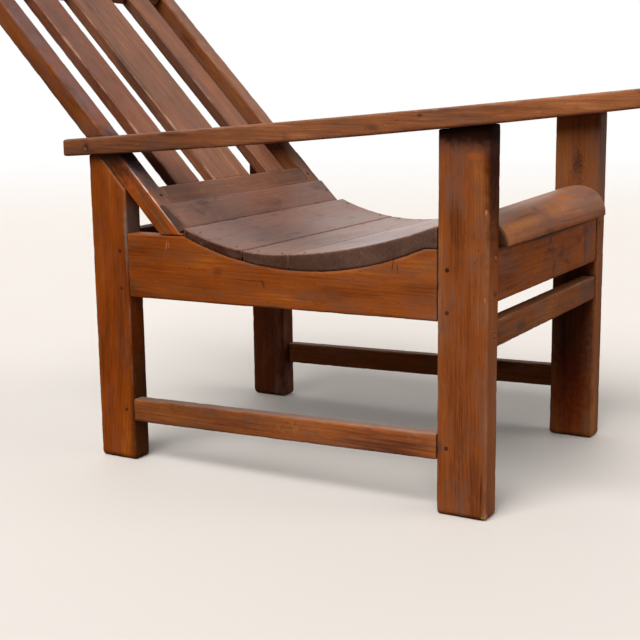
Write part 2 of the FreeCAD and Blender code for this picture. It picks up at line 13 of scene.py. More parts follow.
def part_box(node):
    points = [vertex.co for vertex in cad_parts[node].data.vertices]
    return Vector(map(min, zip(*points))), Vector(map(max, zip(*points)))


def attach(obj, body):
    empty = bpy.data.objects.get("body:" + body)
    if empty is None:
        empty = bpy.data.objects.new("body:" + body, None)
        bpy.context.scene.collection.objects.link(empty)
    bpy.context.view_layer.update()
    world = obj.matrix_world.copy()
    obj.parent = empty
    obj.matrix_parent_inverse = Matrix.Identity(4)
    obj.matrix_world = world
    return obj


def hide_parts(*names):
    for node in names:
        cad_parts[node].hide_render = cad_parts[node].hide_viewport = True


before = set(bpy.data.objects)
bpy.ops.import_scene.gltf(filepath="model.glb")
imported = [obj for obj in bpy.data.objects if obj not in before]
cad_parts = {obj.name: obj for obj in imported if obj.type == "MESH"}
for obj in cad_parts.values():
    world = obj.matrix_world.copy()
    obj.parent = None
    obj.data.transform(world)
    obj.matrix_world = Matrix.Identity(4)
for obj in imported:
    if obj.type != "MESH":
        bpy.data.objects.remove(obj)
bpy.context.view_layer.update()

bl_info = {
    "name": "Reclined lounge chair finish",
    "version": (1, 0, 0),
    "blender": (4, 5, 0),
    "location": "3D View > Sidebar > Lounge chair",
    "description": "Worn boards, whittled pegs and aged wood for the packed lounge chair",
    "category": "Object",
}

MM = 0.001
BODY = "root"


def linear(code):
    """The linear colour of an sRGB hex value."""
    parts = [int(code[i:i + 2], 16) / 255 for i in (1, 3, 5)]
    return tuple(p / 12.92 if p <= 0.04045 else ((p + 0.055) / 1.055) ** 2.4 for p in parts)


def add(tree, kind, sockets=None, **settings):
    """Add a node: settings are its own, a socket gets a value or a link, from a node its first live output."""
    made = tree.nodes.new(kind)
    for name, value in settings.items():
        setattr(made, name, value)
    for socket, value in (sockets or {}).items():
        if isinstance(value, bpy.types.Node):
            value = next(output for output in value.outputs if output.enabled)
        if isinstance(value, bpy.types.NodeSocket):
            tree.links.new(value, made.inputs[socket])
        else:
            made.inputs[socket].default_value = value
    return made


def bare_material(name):
    """A material with an empty node tree, and a short way to put nodes into it."""
    material = bpy.data.materials.new(name)
    material.use_nodes = True
    material.node_tree.nodes.clear()
    return material, partial(add, material.node_tree)


# Woods

# Each wood of the chair: the colours of its late growth, its body, its early growth and its cut ends
WOODS = {
    "frame": ("#4a200b", "#7d3c14", "#9a541f", "#3a1d10"),
    "rail": ("#3c1c0e", "#693515", "#84481f", "#35190f"),
    "nose": ("#58321a", "#84502a", "#a2693a", "#4a3226"),
    "seat": ("#442b20", "#6c4838", "#835d4b", "#35241b"),
    "back": ("#472412", "#744127", "#915a3a", "#3a2013"),
    "arm": ("#41200f", "#6f3a1a", "#8c522c", "#4a2c1c"),
    "peg": ("#1c100a", "#3a2216", "#5a3a2a", "#2a1810"),
}
SHADES = {"late": "late growth", "body": "body", "early": "early growth", "end": "cut ends"}


def colour_property(name, description, code):
    """A colour that a user may change."""
    return FloatVectorProperty(
        name=name, description=description, subtype="COLOR", size=3, min=0, max=1, default=linear(code))


def length_property(name, description, size, least, most):
    """A length that a user may change; the numbers are millimetres."""
    return FloatProperty(
        name=name, description=description, unit="LENGTH", default=size * MM, min=least * MM, max=most * MM)


def wood_colours():
    """Four colour properties for each wood."""
    return {
        f"{wood}_{shade}": colour_property(
            f"{wood} wood, {shade}", f"Colour of the {wood} wood's {SHADES[shade]}", code)
        for wood, codes in WOODS.items() for shade, code in zip(SHADES, codes)
    }


class LoungeColours(bpy.types.PropertyGroup):
    """Colours of the woods and of their wear."""

    __annotations__ = {
        **wood_colours(),
        "worn": colour_property("Worn edge", "Bare wood along rubbed edges", "#c69a80"),
        "grime": colour_property("Grime", "Old dirt and dark wax in joints and stains", "#21140d"),
        "film": colour_property("Wax film", "Old wax that has gone dull and greyish", "#6a4b3d"),
        # This colour is also the painted sheen on the nose's top and the stiles' fronts
        "dust": colour_property("Dust", "Dust and fine wear on faces that look up", "#8f7264"),
        "floor": colour_property("Floor", "Plain pale floor", "#cdc6bf"),
        "floor_bounce": colour_property(
            "Floor's reflected light", "Floor colour for the light that it throws on the chair", "#6e5c4e"),
    }


class LoungeSizes(bpy.types.PropertyGroup):
    """Sizes of the wear and of the pegs."""

    voxel: length_property("Board detail", "Cell size of the worn copies of the boards", 2.8, 1, 10)
    fine_voxel: length_property("Plank detail", "Cell size where a board is thin or has a curved end", 2.2, 1, 10)
    thin_voxel: length_property("Wedge detail", "Cell size of the wedge-shaped seat plank", 1.3, 0.8, 10)
    chip: length_property("Chips", "Depth of the largest dents along the arrises", 0.8, 0, 5)
    wave: length_property("Hand planing", "Height of the slow waves that a hand plane leaves", 0.22, 0, 2)
    arm_round: length_property("Arm end", "Rounding of the top corner at an arm's rear end", 14, 0, 20)
    foot_round: length_property("Foot wear", "How far the feet are rubbed in at the floor", 2.2, 0, 10)
    joint_reach: length_property("Joint dirt", "How far dirt spreads from a joint", 6, 1, 40)
    peg_dome: length_property("Peg dome", "Height of the rounded end of a peg", 0.7, 0, 3)
    peg_facets: IntProperty(
        name="Peg facets", description="Knife cuts round a whittled peg", default=11, min=6, max=32)


class LoungeStudio(bpy.types.PropertyGroup):
    """Lamps and camera."""

    key: FloatProperty(name="Key light", description="Strength of the soft light on the right", default=4.0, min=0)
    front: FloatProperty(name="Front light", description="Strength of the soft light in front", default=1.3, min=0)
    rear: FloatProperty(name="Rear light", description="Strength of the weak light behind", default=0.9, min=0)
    fill: FloatProperty(name="Fill", description="Strength of the room's even light", default=0.14, min=0)
    lens: FloatProperty(
        name="Lens", description="Focal length for a sensor 36 mm wide", unit="CAMERA", default=70.78, min=1)


# Boards

UPRIGHT = Matrix.Rotation(-pi / 2, 3, "Y")      # length runs up
FORE_AND_AFT = Matrix.Rotation(pi / 2, 3, "Z")  # length runs from front to rear
ACROSS = Matrix.Identity(3)                     # length runs from side to side
BACK_TILT = Matrix.Rotation(radians(46.5), 3, "X")
UP_THE_BACK = BACK_TILT @ FORE_AND_AFT

# Boards: the wood, the way that the length runs and the level of detail
BOARDS = {
    node: (wood, run, detail)
    for nodes, wood, run, detail in (
        ("front_post_right front_post_left rear_post_right rear_post_left", "frame", UPRIGHT, "voxel"),
        ("side_rail_right side_rail_left", "frame", FORE_AND_AFT, "voxel"),
        ("back_stile_right back_stile_left", "frame", UP_THE_BACK, "voxel"),
        ("side_stretcher_right side_stretcher_left", "rail", FORE_AND_AFT, "fine_voxel"),
        ("front_rail", "rail", ACROSS, "voxel"),
        ("front_stretcher", "rail", ACROSS, "fine_voxel"),
        ("rear_rail", "rail", ACROSS, "voxel"),
        ("front_roll", "nose", ACROSS, "fine_voxel"),
        ("seat_plank_front seat_plank_middle seat_plank_rear", "seat", ACROSS, "fine_voxel"),
        ("seat_plank_back", "seat", ACROSS, "thin_voxel"),
        ("back_lower_rail back_crest_rail", "back", BACK_TILT, "voxel"),
        ("back_slat_right back_slat_middle back_slat_left", "back", UP_THE_BACK, "fine_voxel"),
        ("arm_right arm_left", "arm", FORE_AND_AFT, "voxel"),
    )
    for node in nodes.split()
}
# Planks that are worn as one surface, so no dirt marks the joint between them
FLUSH = {"seat_plank_front", "seat_plank_middle"}
# Pegs: the way that their outer ends face; None is sideways, away from the middle
PEGS = {
    "side_pegs": None,
    "front_pegs": Vector((0, -1, 0)),
    "rear_pegs": Vector((0, 1, 0)),
    "back_pegs": BACK_TILT @ Vector((0, 0, 1)),
    "arm_pegs": None,
    "seat_pegs": Vector((0, 0, 1)),
}

PEG_REACH = 10 * MM     # how near a board a peg's outer end has to be to show in it
HOLE_PLAY = 0.5 * MM    # how much wider than its peg a filled hole is
SHARP = 0.075           # bulge, in cells, at which an arris counts as sharp
DENTS = 55, 90          # dents in a metre along and across the grain
WAVES = 9, 22           # waves of the plane, likewise
DENT_LEVEL = 0.05       # noise above which an arris is dented
DENT_GAIN = 2           # what brings the noise that is left up to about 1
FOOT_HEIGHT = 10 * MM   # how far up the feet are rubbed


def rows(items, name, width, kind=np.float32):
    """One property of all items of a mesh, as an array with a row for each."""
    found = np.empty(len(items) * width, kind)
    items.foreach_get(name, found)
    return found.reshape(-1, width)


def move(mesh, where):
    """Move a mesh's vertices."""
    mesh.vertices.foreach_set("co", where.astype(np.float32).ravel())
    mesh.update()


def peg_ends(node):
    """Each peg of a peg node: outer end, inner end and radius."""
    bm = bmesh.new()
    bm.from_mesh(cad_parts[node].data)
    bmesh.ops.remove_doubles(bm, verts=bm.verts, dist=1e-5)
    left, found = set(bm.verts), []
    while left:
        island, edge = set(), [min(left, key=lambda v: v.index)]
        while edge:
            vert = edge.pop()
            if vert not in island:
                island.add(vert)
                edge += [e.other_vert(vert) for e in vert.link_edges]
        left -= island
        cloud = np.array([v.co for v in island])
        middle = cloud.mean(axis=0)
        axis = Vector(np.linalg.svd(cloud - middle)[2][0])
        out = PEGS[node] or Vector((middle[0], 0, 0))
        axis = axis if axis.dot(out) > 0 else -axis
        along = (cloud - middle) @ np.array(axis)
        radius = np.linalg.norm(cloud - middle - np.outer(along, axis), axis=1).max()
        centre = Vector(middle)
        found.append((centre + axis * along.max(), centre + axis * along.min(), float(radius)))
    bm.free()
    return sorted(found, key=lambda peg: tuple(round(c, 4) for c in peg[0]))


def tree_of(names):
    """A search tree over the surfaces of CAD nodes."""
    corners, faces = [], []
    for name in names:
        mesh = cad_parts[name].data
        start = len(corners)
        corners += [v.co.copy() for v in mesh.vertices]
        faces += [[start + i for i in p.vertices] for p in mesh.polygons]
    return BVHTree.FromPolygons(corners, faces)


def near(node, reach):
    """The boards whose boxes come within reach of a board's box."""
    low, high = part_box(node)
    found = []
    for other in BOARDS:
        bottom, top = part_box(other)
        if other == node or FLUSH.issuperset((node, other)):
            continue
        if all(bottom[i] < high[i] + reach and top[i] > low[i] - reach for i in range(3)):
            found.append(other)
    return found


def smoothed(values, edges, degree, rounds):
    """Values averaged with those of their neighbours, several times."""
    for _ in range(rounds):
        total = np.zeros_like(values)
        np.add.at(total, edges[:, 0], values[edges[:, 1]])
        np.add.at(total, edges[:, 1], values[edges[:, 0]])
        values = 0.5 * values + 0.5 * total / degree
    return values


def sound_copy(node, holes, voxel):
    """An even mesh of a board with its peg holes filled, and its points back on the CAD surface."""
    bm = bmesh.new()
    bm.from_mesh(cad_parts[node].data)
    for outer, inner, radius in holes:
        run = outer - inner
        place = Matrix.Translation((outer + inner) / 2 - run.normalized() * HOLE_PLAY)
        place @= run.to_track_quat("Z", "Y").to_matrix().to_4x4()
        bmesh.ops.create_cone(
            bm, cap_ends=True, segments=16, radius1=radius + HOLE_PLAY, radius2=radius + HOLE_PLAY,
            depth=run.length, matrix=place)
    bmesh.ops.remove_doubles(bm, verts=bm.verts, dist=1e-6)
    surface = BVHTree.FromBMesh(bm)
    rough = bpy.data.meshes.new("rough")
    bm.to_mesh(rough)
    bm.free()
    holder = bpy.data.objects.new("holder", rough)
    bpy.context.collection.objects.link(holder)
    cells = holder.modifiers.new("cells", "REMESH")
    cells.mode, cells.voxel_size, cells.use_smooth_shade = "VOXEL", voxel, True
    seen = holder.evaluated_get(bpy.context.evaluated_depsgraph_get())
    mesh = bpy.data.meshes.new_from_object(seen)
    bpy.data.objects.remove(holder)
    bpy.data.meshes.remove(rough)
    for vert in mesh.vertices:
        vert.co = surface.find_nearest(vert.co)[0]
    return mesh


def worn_board(node, holes, context):
    """A board's own worn copy: rounded, dented arrises, slow waves, and attributes for wear and dirt."""
    wood, run, detail = BOARDS[node]
    sizes = context.scene.lounge_sizes
    voxel = getattr(sizes, detail)
    mesh = sound_copy(node, holes, voxel)
    where = rows(mesh.vertices, "co", 3).astype(float)
    edges = rows(mesh.edges, "vertices", 2, np.int32)
    degree = np.bincount(edges.ravel(), minlength=len(where)).reshape(-1, 1).astype(float)
    where = smoothed(where, edges, degree, 1)
    move(mesh, where)
    normals = rows(mesh.vertex_normals, "vector", 3).astype(float)

    bulge = where - smoothed(where, edges, degree, 1)
    bulge = (bulge * normals).sum(axis=1, keepdims=True) / voxel
    arris = np.clip(smoothed(bulge, edges, degree, 1) / SHARP, 0, 1)

    # Each board has its own stretch of the noise
    seed = Vector((7.3, 3.1, 5.7)) * (1 + list(BOARDS).index(node))
    turn = run.transposed()
    dents, waves = np.empty(len(where)), np.empty(len(where))
    for i, point in enumerate(where):
        spot = turn @ Vector(point)
        for heights, (along, across) in ((dents, DENTS), (waves, WAVES)):
            heights[i] = noise.noise(Vector((spot.x * along, spot.y * across, spot.z * across)) + seed)
    depth = sizes.wave * waves - sizes.chip * arris[:, 0] * np.clip(dents - DENT_LEVEL, 0, 1) * DENT_GAIN
    where += normals * depth[:, None]
    if "post" in node:
        low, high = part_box(node)
        rub = sizes.foot_round * np.clip(1 - where[:, 2] / FOOT_HEIGHT, 0, 1) ** 2
        for axis in (0, 1):
            middle, half = (low[axis] + high[axis]) / 2, (high[axis] - low[axis]) / 2
            where[:, axis] -= rub * (where[:, axis] - middle) / half
    if "arm" in node:
        # In the arm's own sloping directions, rearwards and up
        middle = where[:, 1:].mean(axis=0)
        ways = np.linalg.svd(where[:, 1:] - middle, full_matrices=False)[2]
        ways *= np.sign(np.diag(ways))[:, None]
        spot = (where[:, 1:] - middle) @ ways.T
        over = spot - spot.max(axis=0) + sizes.arm_round
        past = np.linalg.norm(over, axis=1)
        corner = (over > 0).all(axis=1) & (past > sizes.arm_round)
        spot[corner] -= over[corner] * (1 - sizes.arm_round / past[corner])[:, None]
        where[:, 1:] = spot @ ways + middle
    move(mesh, where)

    others = tree_of(near(node, sizes.joint_reach))
    close = np.zeros(len(where), np.float32)
    for i, point in enumerate(where):
        distance = others.find_nearest(point, sizes.joint_reach)[3]
        if distance is not None:
            close[i] = 1 - distance / sizes.joint_reach
    for name, values in (("arris", arris[:, 0]), ("joint", close)):
        layer = mesh.attributes.new(name, "FLOAT", "POINT")
        layer.data.foreach_set("value", np.ascontiguousarray(values, np.float32))

    mesh.materials.clear()
    piece = bpy.data.objects.new(f"{node}_worn", mesh)
    mesh.name = piece.name
    context.collection.objects.link(piece)
    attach(piece, BODY)
    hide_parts(node)
    return piece


def peg_holes():
    """For each board, the pegs whose outer ends show in it."""
    found = {node: [] for node in BOARDS}
    surfaces = {node: tree_of([node]) for node in BOARDS}
    for group in PEGS:
        for peg in peg_ends(group):
            reach = {n: s.find_nearest(peg[0], PEG_REACH)[3] for n, s in surfaces.items()}
            near_by = {n: d for n, d in reach.items() if d is not None}
            if near_by:
                found[min(near_by, key=near_by.get)].append(peg)
    return found


# Aged wood

# Noise that draws the wood: cells per metre along, across and through a board, detail and roughness.
# Streaks are 4 mm wide and 200 mm long. Threads of grain and pores are under 0.5 mm wide in the real wood,
# and scratches under 0.3 mm, so they are drawn 1.2 to 1.5 mm wide to show.
NOISE = {
    "sway": ((2.2, 9, 9), 2.0, 0.5),
    "tone": ((4, 18, 18), 3.0, 0.6),
    "streak": ((5, 250, 250), 3.0, 0.6),
    "thread": ((10, 680, 680), 2.0, 0.6),
    "pore": ((40, 820, 820), 1.0, 0.5),
    "haze": ((9, 34, 34), 5.0, 0.68),
    "stain": ((14, 34, 34), 4.0, 0.6),
    "fleck": ((150, 330, 330), 1.0, 0.5),
    "scuff": ((45, 160, 160), 3.0, 0.6),
    "scratch": ((22, 820, 820), 0.0, 0.5),
    "rub": ((30, 70, 70), 3.0, 0.6),
    "patch": ((14, 20, 20), 2.0, 0.5),
}
# Noise that lies askew to the grain, in radians
ASKEW = {"scuff": (0, 0.2, 0.5), "scratch": (0.4, 0.5, 0.7)}
# What lies on the wood: the noise, where it starts and where it is full, and the colour
LAYERS = (
    ("pore", 0.58, 0.72, "Late"),
    ("haze", 0.44, 0.70, "Film"),
    ("stain", 0.55, 0.74, "Grime"),
    ("fleck", 0.71, 0.80, "Grime"),
    ("scuff", 0.62, 0.75, "Worn"),
    ("scratch", 0.78, 0.84, "Worn"),
)
# How strong each trait is in each wood: ring spacing and figure, then the layers, wear, dirt, dust and painted sheen,
# dullness, gloss
TRAITS = ("Ring", "Figure", "Streak", "Thread", "Pore", "Haze", "Stain", "Fleck", "Scuff", "Scratch",
          "Wear", "Dirt", "Dust", "Dull", "Gloss")
HABITS = {
    "frame": (5 * MM, -0.1, 0.55, 0.5, 0.35, 0.6, 0.2, 0.7, 0.05, 0.1, 0.25, 0.45, 0.25, 0.42, 0.08),
    "rail": (6 * MM, -0.1, 0.75, 0.75, 0.45, 0.55, 0.5, 0.7, 0.1, 0.15, 0.3, 0.5, 0.6, 0.45, 0.08),
    # The nose's dust is high so that its pale top is also a painted sheen
    "nose": (14 * MM, -0.22, 0.55, 0.6, 0.4, 0.3, 0.35, 0.4, 0.12, 0.2, 0.2, 0.6, 0.45, 0.28, 0.08),
    "seat": (8 * MM, -0.16, 0.85, 0.85, 0.5, 0.35, 0.5, 0.6, 0.15, 0.2, 0.08, 0.5, 0.15, 0.27, 0.45),
    "back": (6 * MM, -0.16, 0.85, 0.8, 0.45, 0.35, 0.25, 0.5, 0.15, 0.2, 0.5, 0.6, 0.3, 0.45, 0.22),
    "arm": (6 * MM, -0.1, 0.75, 0.75, 0.5, 0.45, 0.55, 0.7, 0.15, 0.15, 0.5, 0.6, 0.6, 0.45, 0.16),
}
# Colours of the wood and of what lies on it
PAINTS = ("Late", "Body", "Early", "End", "Worn", "Grime", "Film", "Dust Colour")
# Settings of nodes that mix colours, fade softly, or multiply and add
RGBA = {"data_type": "RGBA"}
SOFT = {"interpolation_type": "SMOOTHSTEP"}
SCALED = {"operation": "MULTIPLY_ADD"}


def figure_group():
    """Node group that draws old, hand-finished tropical hardwood in a board's own coordinates.

    Growth rings lie round a pith line outside the board, so wide faces show long arches and narrow
    ones straight stripes. Pores draw dark dashes along the grain. Dull wax and stains lie in patches,
    dirt gathers at joints, dust on faces that look up, and the arrises are rubbed pale. On the nose
    and the stiles' fronts that dust is also a painted sheen.
    """
    tree = bpy.data.node_groups.new("old_hardwood_figure", "ShaderNodeTree")
    put = partial(add, tree)
    for names, kind in ((("Board", "Facing", "Shift", "Pith", "Lean"), "NodeSocketVector"),
                        (TRAITS, "NodeSocketFloat"), (PAINTS, "NodeSocketColor")):
        for name in names:
            tree.interface.new_socket(name, in_out="INPUT", socket_type=kind)
    for name, kind in (("Colour", "NodeSocketColor"), ("Roughness", "NodeSocketFloat"),
                       ("Sheen", "NodeSocketFloat"), ("Normal", "NodeSocketVector")):
        tree.interface.new_socket(name, in_out="OUTPUT", socket_type=kind)
    given = put("NodeGroupInput").outputs
    shifted = put("ShaderNodeVectorMath", {0: given["Board"], 1: given["Shift"]}, operation="ADD")
    drawn = {}
    for name, (scale, detail, rough) in NOISE.items():
        at = put("ShaderNodeMapping", {"Vector": shifted, "Scale": scale, "Rotation": ASKEW.get(name, (0, 0, 0))})
        drawn[name] = put("ShaderNodeTexNoise", {"Vector": at, "Scale": 1.0, "Detail": detail, "Roughness": rough})

    # Rings: distance from the leaning pith line, swaying by about 12 mm
    from_pith = put("ShaderNodeMapping",
                    {"Vector": given["Board"], "Location": given["Pith"], "Rotation": given["Lean"]},
                    vector_type="TEXTURE")
    flat = put("ShaderNodeVectorMath", {0: from_pith, 1: (0, 1, 1)}, operation="MULTIPLY")
    radius = put("ShaderNodeVectorMath", {0: flat}, operation="LENGTH").outputs["Value"]
    swayed = put("ShaderNodeMath", {0: drawn["sway"], 1: 24 * MM, 2: radius}, **SCALED)
    turns = put("ShaderNodeMath", {0: swayed, 1: given["Ring"]}, operation="DIVIDE")
    part = put("ShaderNodeMath", {0: turns}, operation="FRACT")
    drawn["ring"] = put("ShaderNodeMath", {0: part, 1: 2.2}, operation="POWER")

    # Lightness of the wood: slow tone, then streaks, threads and rings swing it
    light = put("ShaderNodeMapRange", {"Value": drawn["tone"], "To Min": -0.3, "To Max": 1.3}, clamp=False)
    for name, middle, trait in (("streak", 0.5, "Streak"), ("thread", 0.5, "Thread"), ("ring", 0.3, "Figure")):
        swing = put("ShaderNodeMath", {0: drawn[name], 1: middle}, operation="SUBTRACT")
        light = put("ShaderNodeMath", {0: swing, 1: given[trait], 2: light}, **SCALED)
    dark, pale = (put("ShaderNodeMapRange", {"Value": light, "From Min": low, "From Max": high}, **SOFT)
                  for low, high in ((0.0, 0.55), (0.5, 1.0)))

    # End grain soaks up finish, so the ends are darker and duller
    along = put("ShaderNodeSeparateXYZ", {0: given["Facing"]})
    endwise = put("ShaderNodeMath", {0: along}, operation="ABSOLUTE")
    end = put("ShaderNodeMapRange", {"Value": endwise, "From Min": 0.75, "From Max": 0.95, "To Max": 0.75}, **SOFT)

    # Dust on faces that look up, thicker in patches; on the nose and the stiles' fronts it is also a painted sheen
    up = put("ShaderNodeSeparateXYZ", {0: put("ShaderNodeTexCoord").outputs["Normal"]}).outputs[2]
    dust_and_sheen = put("ShaderNodeMath", {0: drawn["rub"], 1: 0.7, 2: up}, **SCALED)

    # Arrises rubbed pale in broken stretches, and dirt at the joints
    arris = put("ShaderNodeAttribute", attribute_name="arris").outputs["Fac"]
    rubbed = put("ShaderNodeMath", {0: drawn["rub"], 1: 1.2, 2: arris}, **SCALED)
    rubbed = put("ShaderNodeMath", {0: drawn["patch"], 1: 2.0, 2: rubbed}, **SCALED)
    joint = put("ShaderNodeAttribute", attribute_name="joint").outputs["Fac"]
    gathered = put("ShaderNodeMath", {0: joint, 1: drawn["rub"]}, operation="ADD")

    # The colours, each laid over the last
    masks = {"Body": dark, "Early": pale, "End": end}
    paints = {name: name for name in masks}
    for name, value, low, high, paint in (
        *((name.title(), drawn[name], low, high, paint) for name, low, high, paint in LAYERS),
        ("Dust", dust_and_sheen, 0.7, 1.5, "Dust Colour"), ("Wear", rubbed, 2.1, 2.85, "Worn"),
        ("Dirt", gathered, 0.85, 1.5, "Grime"),
    ):
        masks[name] = put("ShaderNodeMapRange",
                          {"Value": value, "From Min": low, "From Max": high, "To Max": given[name]}, **SOFT)
        paints[name] = paint
    masks["Wear"] = put("ShaderNodeMath", {0: masks["Wear"], 1: arris}, operation="MULTIPLY")
    colour = given["Late"]
    for name, mask in masks.items():
        colour = put("ShaderNodeMix", {0: mask, 6: colour, 7: given[paints[name]]}, **RGBA)

    rough = put("ShaderNodeMath", {0: drawn["tone"], 1: 0.25, 2: given["Dull"]}, **SCALED)
    for name in ("Wear", "Dust", "End", "Haze", "Stain", "Scuff"):
        rough = put("ShaderNodeMath", {0: masks[name], 1: 0.2, 2: rough}, **SCALED)
    lost = put("ShaderNodeMath", {0: end, 1: given["Gloss"]}, operation="MULTIPLY")
    sheen = put("ShaderNodeMath", {0: given["Gloss"], 1: lost}, operation="SUBTRACT")
    height = drawn["streak"]
    for name, rise in (("pore", -0.5), ("thread", 0.5), ("ring", -0.3), ("scratch", -0.3)):
        height = put("ShaderNodeMath", {0: drawn[name], 1: rise, 2: height}, **SCALED)
    bump = put("ShaderNodeBump", {"Strength": 0.4, "Distance": 0.5 * MM, "Height": height})
    put("NodeGroupOutput", {"Colour": colour, "Roughness": rough, "Sheen": sheen, "Normal": bump})


# How far the pith lies from the middle of a board; near it, wide faces show arches
PITH = {"frame": 0.18, "rail": 0.18, "nose": 0.06, "seat": 0.2, "back": 0.12, "arm": 0.16}
# Pieces that are redder, paler or darker than their fellows; the far rear post's dark tint is painted shade
TINTS = {
    "front_post_right": (1.12, 1.32, 1.85),
    "front_post_left": (0.94, 1.28, 2.1),
    "rear_post_right": (1.0, 0.88, 0.23),
    # Painted shade: the far rear post is darkened on every face for the shade under the seat
    "rear_post_left": (0.35, 0.29, 0.16),
    "side_rail_right": (1.28, 1.42, 1.31),
    "side_stretcher_left": (1.25, 1.35, 1.2),
    "side_stretcher_right": (2.2, 2.46, 2.84),
    "back_stile_right": (1.9, 1.7, 1.25),
    "back_stile_left": (0.82, 1.12, 2.1),
    "back_slat_right": (0.74, 0.63, 0.52),
    "back_slat_middle": (0.94, 1.0, 0.95),
    "back_slat_left": (0.85, 0.78, 0.62),
    "back_lower_rail": (0.79, 0.76, 0.63),
    "seat_plank_back": (0.94, 0.72, 0.56),
    "seat_plank_rear": (0.88, 0.67, 0.55),
    "seat_plank_middle": (0.98, 0.86, 0.8),
    "seat_plank_front": (1.1, 1.15, 1.2),
    "front_roll": (1.0, 0.82, 0.55),
    "front_rail": (1.57, 1.42, 0.63),
    "front_stretcher": (1.18, 1.37, 1.6),
    "arm_right": (1.65, 1.91, 2.33),
    "arm_left": (1.3, 1.3, 1.2),
    "seat_pegs": (2.4, 2.3, 2.2),
    "arm_pegs": (4.0, 3.9, 3.9),
    "front_pegs": (3.2, 2.4, 2.0),
    "side_pegs": (0.85, 0.75, 0.65),
}
# Traits and colours of single boards that differ from those of their wood
OWN = {
    "front_post_right": {"Gloss": 0.03},
    "rear_post_right": {"Haze": 0.2},
    "side_rail_right": {"Streak": 0.4, "Thread": 0.5, "Wear": 0.1},
    "side_stretcher_right": {"Dust": 0.95},
    "front_stretcher": {"Dust": 0.1},
    # The stiles' strong dust greys their fronts as a painted reflection as well as dust
    "back_stile_right": {"Dust": 0.9, "Streak": 0.3, "Thread": 0.4, "Wear": 0.15},
    "back_stile_left": {"Dust": 0.9},
    "seat_plank_back": {"Gloss": 0.2},
    "seat_plank_rear": {"Gloss": 0.24, "End": (*linear("#28110a"), 1)},
    "seat_plank_middle": {"Gloss": 0.35, "End": (*linear("#35221a"), 1)},
    "seat_plank_front": {"Gloss": 0.7, "End": (*linear("#432e25"), 1)},
}


def tinted(colour, node):
    """A wood's colour as it is on one piece."""
    return [c * t for c, t in zip(colour, TINTS.get(node, (1, 1, 1)))]


# Names of the materials: how each wood of the chair was finished
FINISH = {
    "frame": "varnished_old_teak",
    "rail": "waxed_old_teak",
    "nose": "flat_sawn_old_teak",
    "seat": "sat_bare_old_teak",
    "back": "leaned_bare_old_teak",
    "arm": "hand_polished_old_teak",
}
# Heights of the pegs in the front posts, in millimetres; dark rings round them are partly dirt and partly painted
# shadow of the peg ends
FRONT_PEGS = 418, 363, 296.5


def stain(at, size, code, share, soft=0.9, **more):
    """A mark that covers the wood, used for real stains and for painted shadows, shade and highlights: place and half
    sizes in millimetres, colour, share and softness.
    """
    return dict(at=at, size=size, code=code, share=share, soft=soft, **more)


def shade(at, size, code, soft, **more):
    """A mark that shades the wood, so that its grain shows through."""
    return stain(at, size, code, 1.0, soft, blend="MULTIPLY", **more)


# Dark notches where the ends of two seat planks meet
REAR_NOTCH = stain((-282, 79.5, 392), (6, 2.5, 5), "#100906", 0.95, 0.5)
FRONT_NOTCH = stain((-282, -12.8, 381), (6, 2.5, 4), "#100906", 0.95, 0.5)
